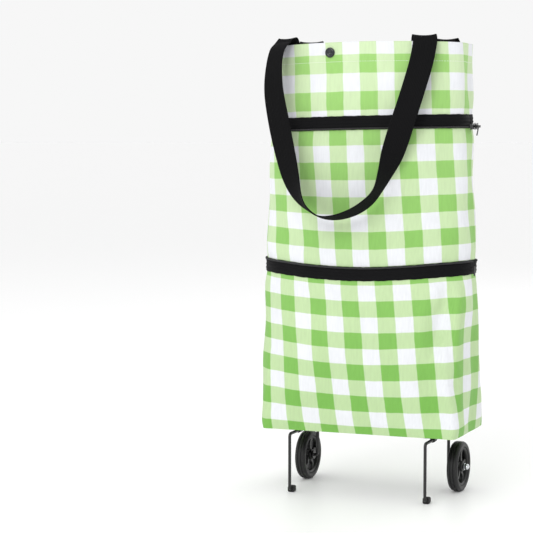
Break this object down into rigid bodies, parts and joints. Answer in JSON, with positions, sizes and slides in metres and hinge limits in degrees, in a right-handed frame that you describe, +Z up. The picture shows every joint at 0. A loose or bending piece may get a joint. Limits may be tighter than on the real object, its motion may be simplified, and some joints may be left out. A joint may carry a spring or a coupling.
{
  "type": "folding shopping trolley bag",
  "caption": "Tall open-topped cloth shopping bag with webbing handles, a zip-shortened body, and fold-away wire frames with feet in front and wheels behind.",
  "frame": {"origin": "on the floor, under the middle of the bag", "axes": "+X to the user's right along the bag's width, +Y from front panel to back panel, +Z up"},
  "size_m": [0.2778, 0.1972, 0.5852],
  "materials": {
    "cloth_gingham": "woven polyester, gingham check",
    "zip_tape": "woven tape",
    "zip_coil": "moulded nylon",
    "zip_metal": "black enamel",
    "webbing": "ribbed webbing",
    "snap_paint": "gloss lacquer",
    "snap_metal": "plated",
    "base_plastic": "fine texture",
    "board": "smooth sheet",
    "rivet_steel": "zinc plated",
    "clip_steel": "satin black",
    "wire_coat": "satin black powder coat",
    "foot_rubber": "moulded",
    "washer_steel": "zinc plated",
    "cap_chrome": "polished",
    "rim_plastic": "moulded",
    "tyre_rubber": "moulded"
  },
  "bodies": {
    "base": {"lower_section": "cloth_gingham", "middle_section": "cloth_gingham", "lower_zip_tape": "zip_tape", "lower_zip_coil": "zip_coil", "zip_pin": "zip_metal", "base_plate": "base_plastic", "stiffener_board": "board", "rivet_washers": "rivet_steel", "base_rivets": "rivet_steel", "left_front_clip": "clip_steel", "left_rear_clip": "clip_steel", "right_front_clip": "clip_steel", "right_rear_clip": "clip_steel", "clip_rivets": "rivet_steel"},
    "top": {"upper_section": "cloth_gingham", "hem_facing": "cloth_gingham", "upper_zip_tape": "zip_tape", "upper_zip_coil": "zip_coil", "zip_box": "zip_metal", "snap_cap": "snap_paint", "snap_back": "snap_paint", "snap_socket": "snap_metal", "snap_stud": "snap_metal", "front_handle_ends": "webbing", "back_handle_ends": "webbing"},
    "front_loop": {"front_handle": "webbing"},
    "back_loop": {"back_handle": "webbing"},
    "slider": {"zip_slider": "zip_metal"},
    "pull": {"zip_pull": "zip_metal"},
    "left_frame": {"left_frame_rod": "wire_coat", "left_foot_cap": "foot_rubber", "left_axle_washer": "washer_steel", "left_axle_cap": "cap_chrome"},
    "right_frame": {"right_frame_rod": "wire_coat", "right_foot_cap": "foot_rubber", "right_axle_washer": "washer_steel", "right_axle_cap": "cap_chrome"},
    "left_wheel": {"left_wheel_rim": "rim_plastic", "left_tyre": "tyre_rubber"},
    "right_wheel": {"right_wheel_rim": "rim_plastic", "right_tyre": "tyre_rubber"}
  },
  "joints": [
    {"name": "bag_collapse", "type": "slide", "parent": "base", "child": "top", "axis": [0, 0, -1], "range_m": [0, 0.168], "deforming": ["middle_section"]},
    {"name": "front_handle_swing", "type": "hinge", "parent": "top", "child": "front_loop", "pos_m": [0, -0.052, 0.5826], "axis": [-1, 0, 0], "range_deg": [0, 180]},
    {"name": "back_handle_swing", "type": "hinge", "parent": "top", "child": "back_loop", "pos_m": [0, 0.052, 0.5826], "axis": [1, 0, 0], "range_deg": [0, 180]},
    {"name": "zip_slider_travel", "type": "slide", "parent": "top", "child": "slider", "axis": [0, 1, 0], "range_m": [0, 0.028]},
    {"name": "zip_pull_swing", "type": "hinge", "parent": "slider", "child": "pull", "pos_m": [0.1381, 0.0035, 0.4745], "axis": [0, -1, 0], "range_deg": [0, 150]},
    {"name": "left_frame_fold", "type": "hinge", "parent": "base", "child": "left_frame", "pos_m": [-0.092, 0, 0.0771], "axis": [0, -1, 0], "range_deg": [0, 90]},
    {"name": "right_frame_fold", "type": "hinge", "parent": "base", "child": "right_frame", "pos_m": [0.092, 0, 0.0771], "axis": [0, 1, 0], "range_deg": [0, 90]},
    {"name": "left_wheel_spin", "type": "hinge", "parent": "left_frame", "child": "left_wheel", "pos_m": [-0.1059, 0.035, 0.0325], "axis": [1, 0, 0], "continuous": true},
    {"name": "right_wheel_spin", "type": "hinge", "parent": "right_frame", "child": "right_wheel", "pos_m": [0.1059, 0.035, 0.0325], "axis": [1, 0, 0], "continuous": true}
  ]
}
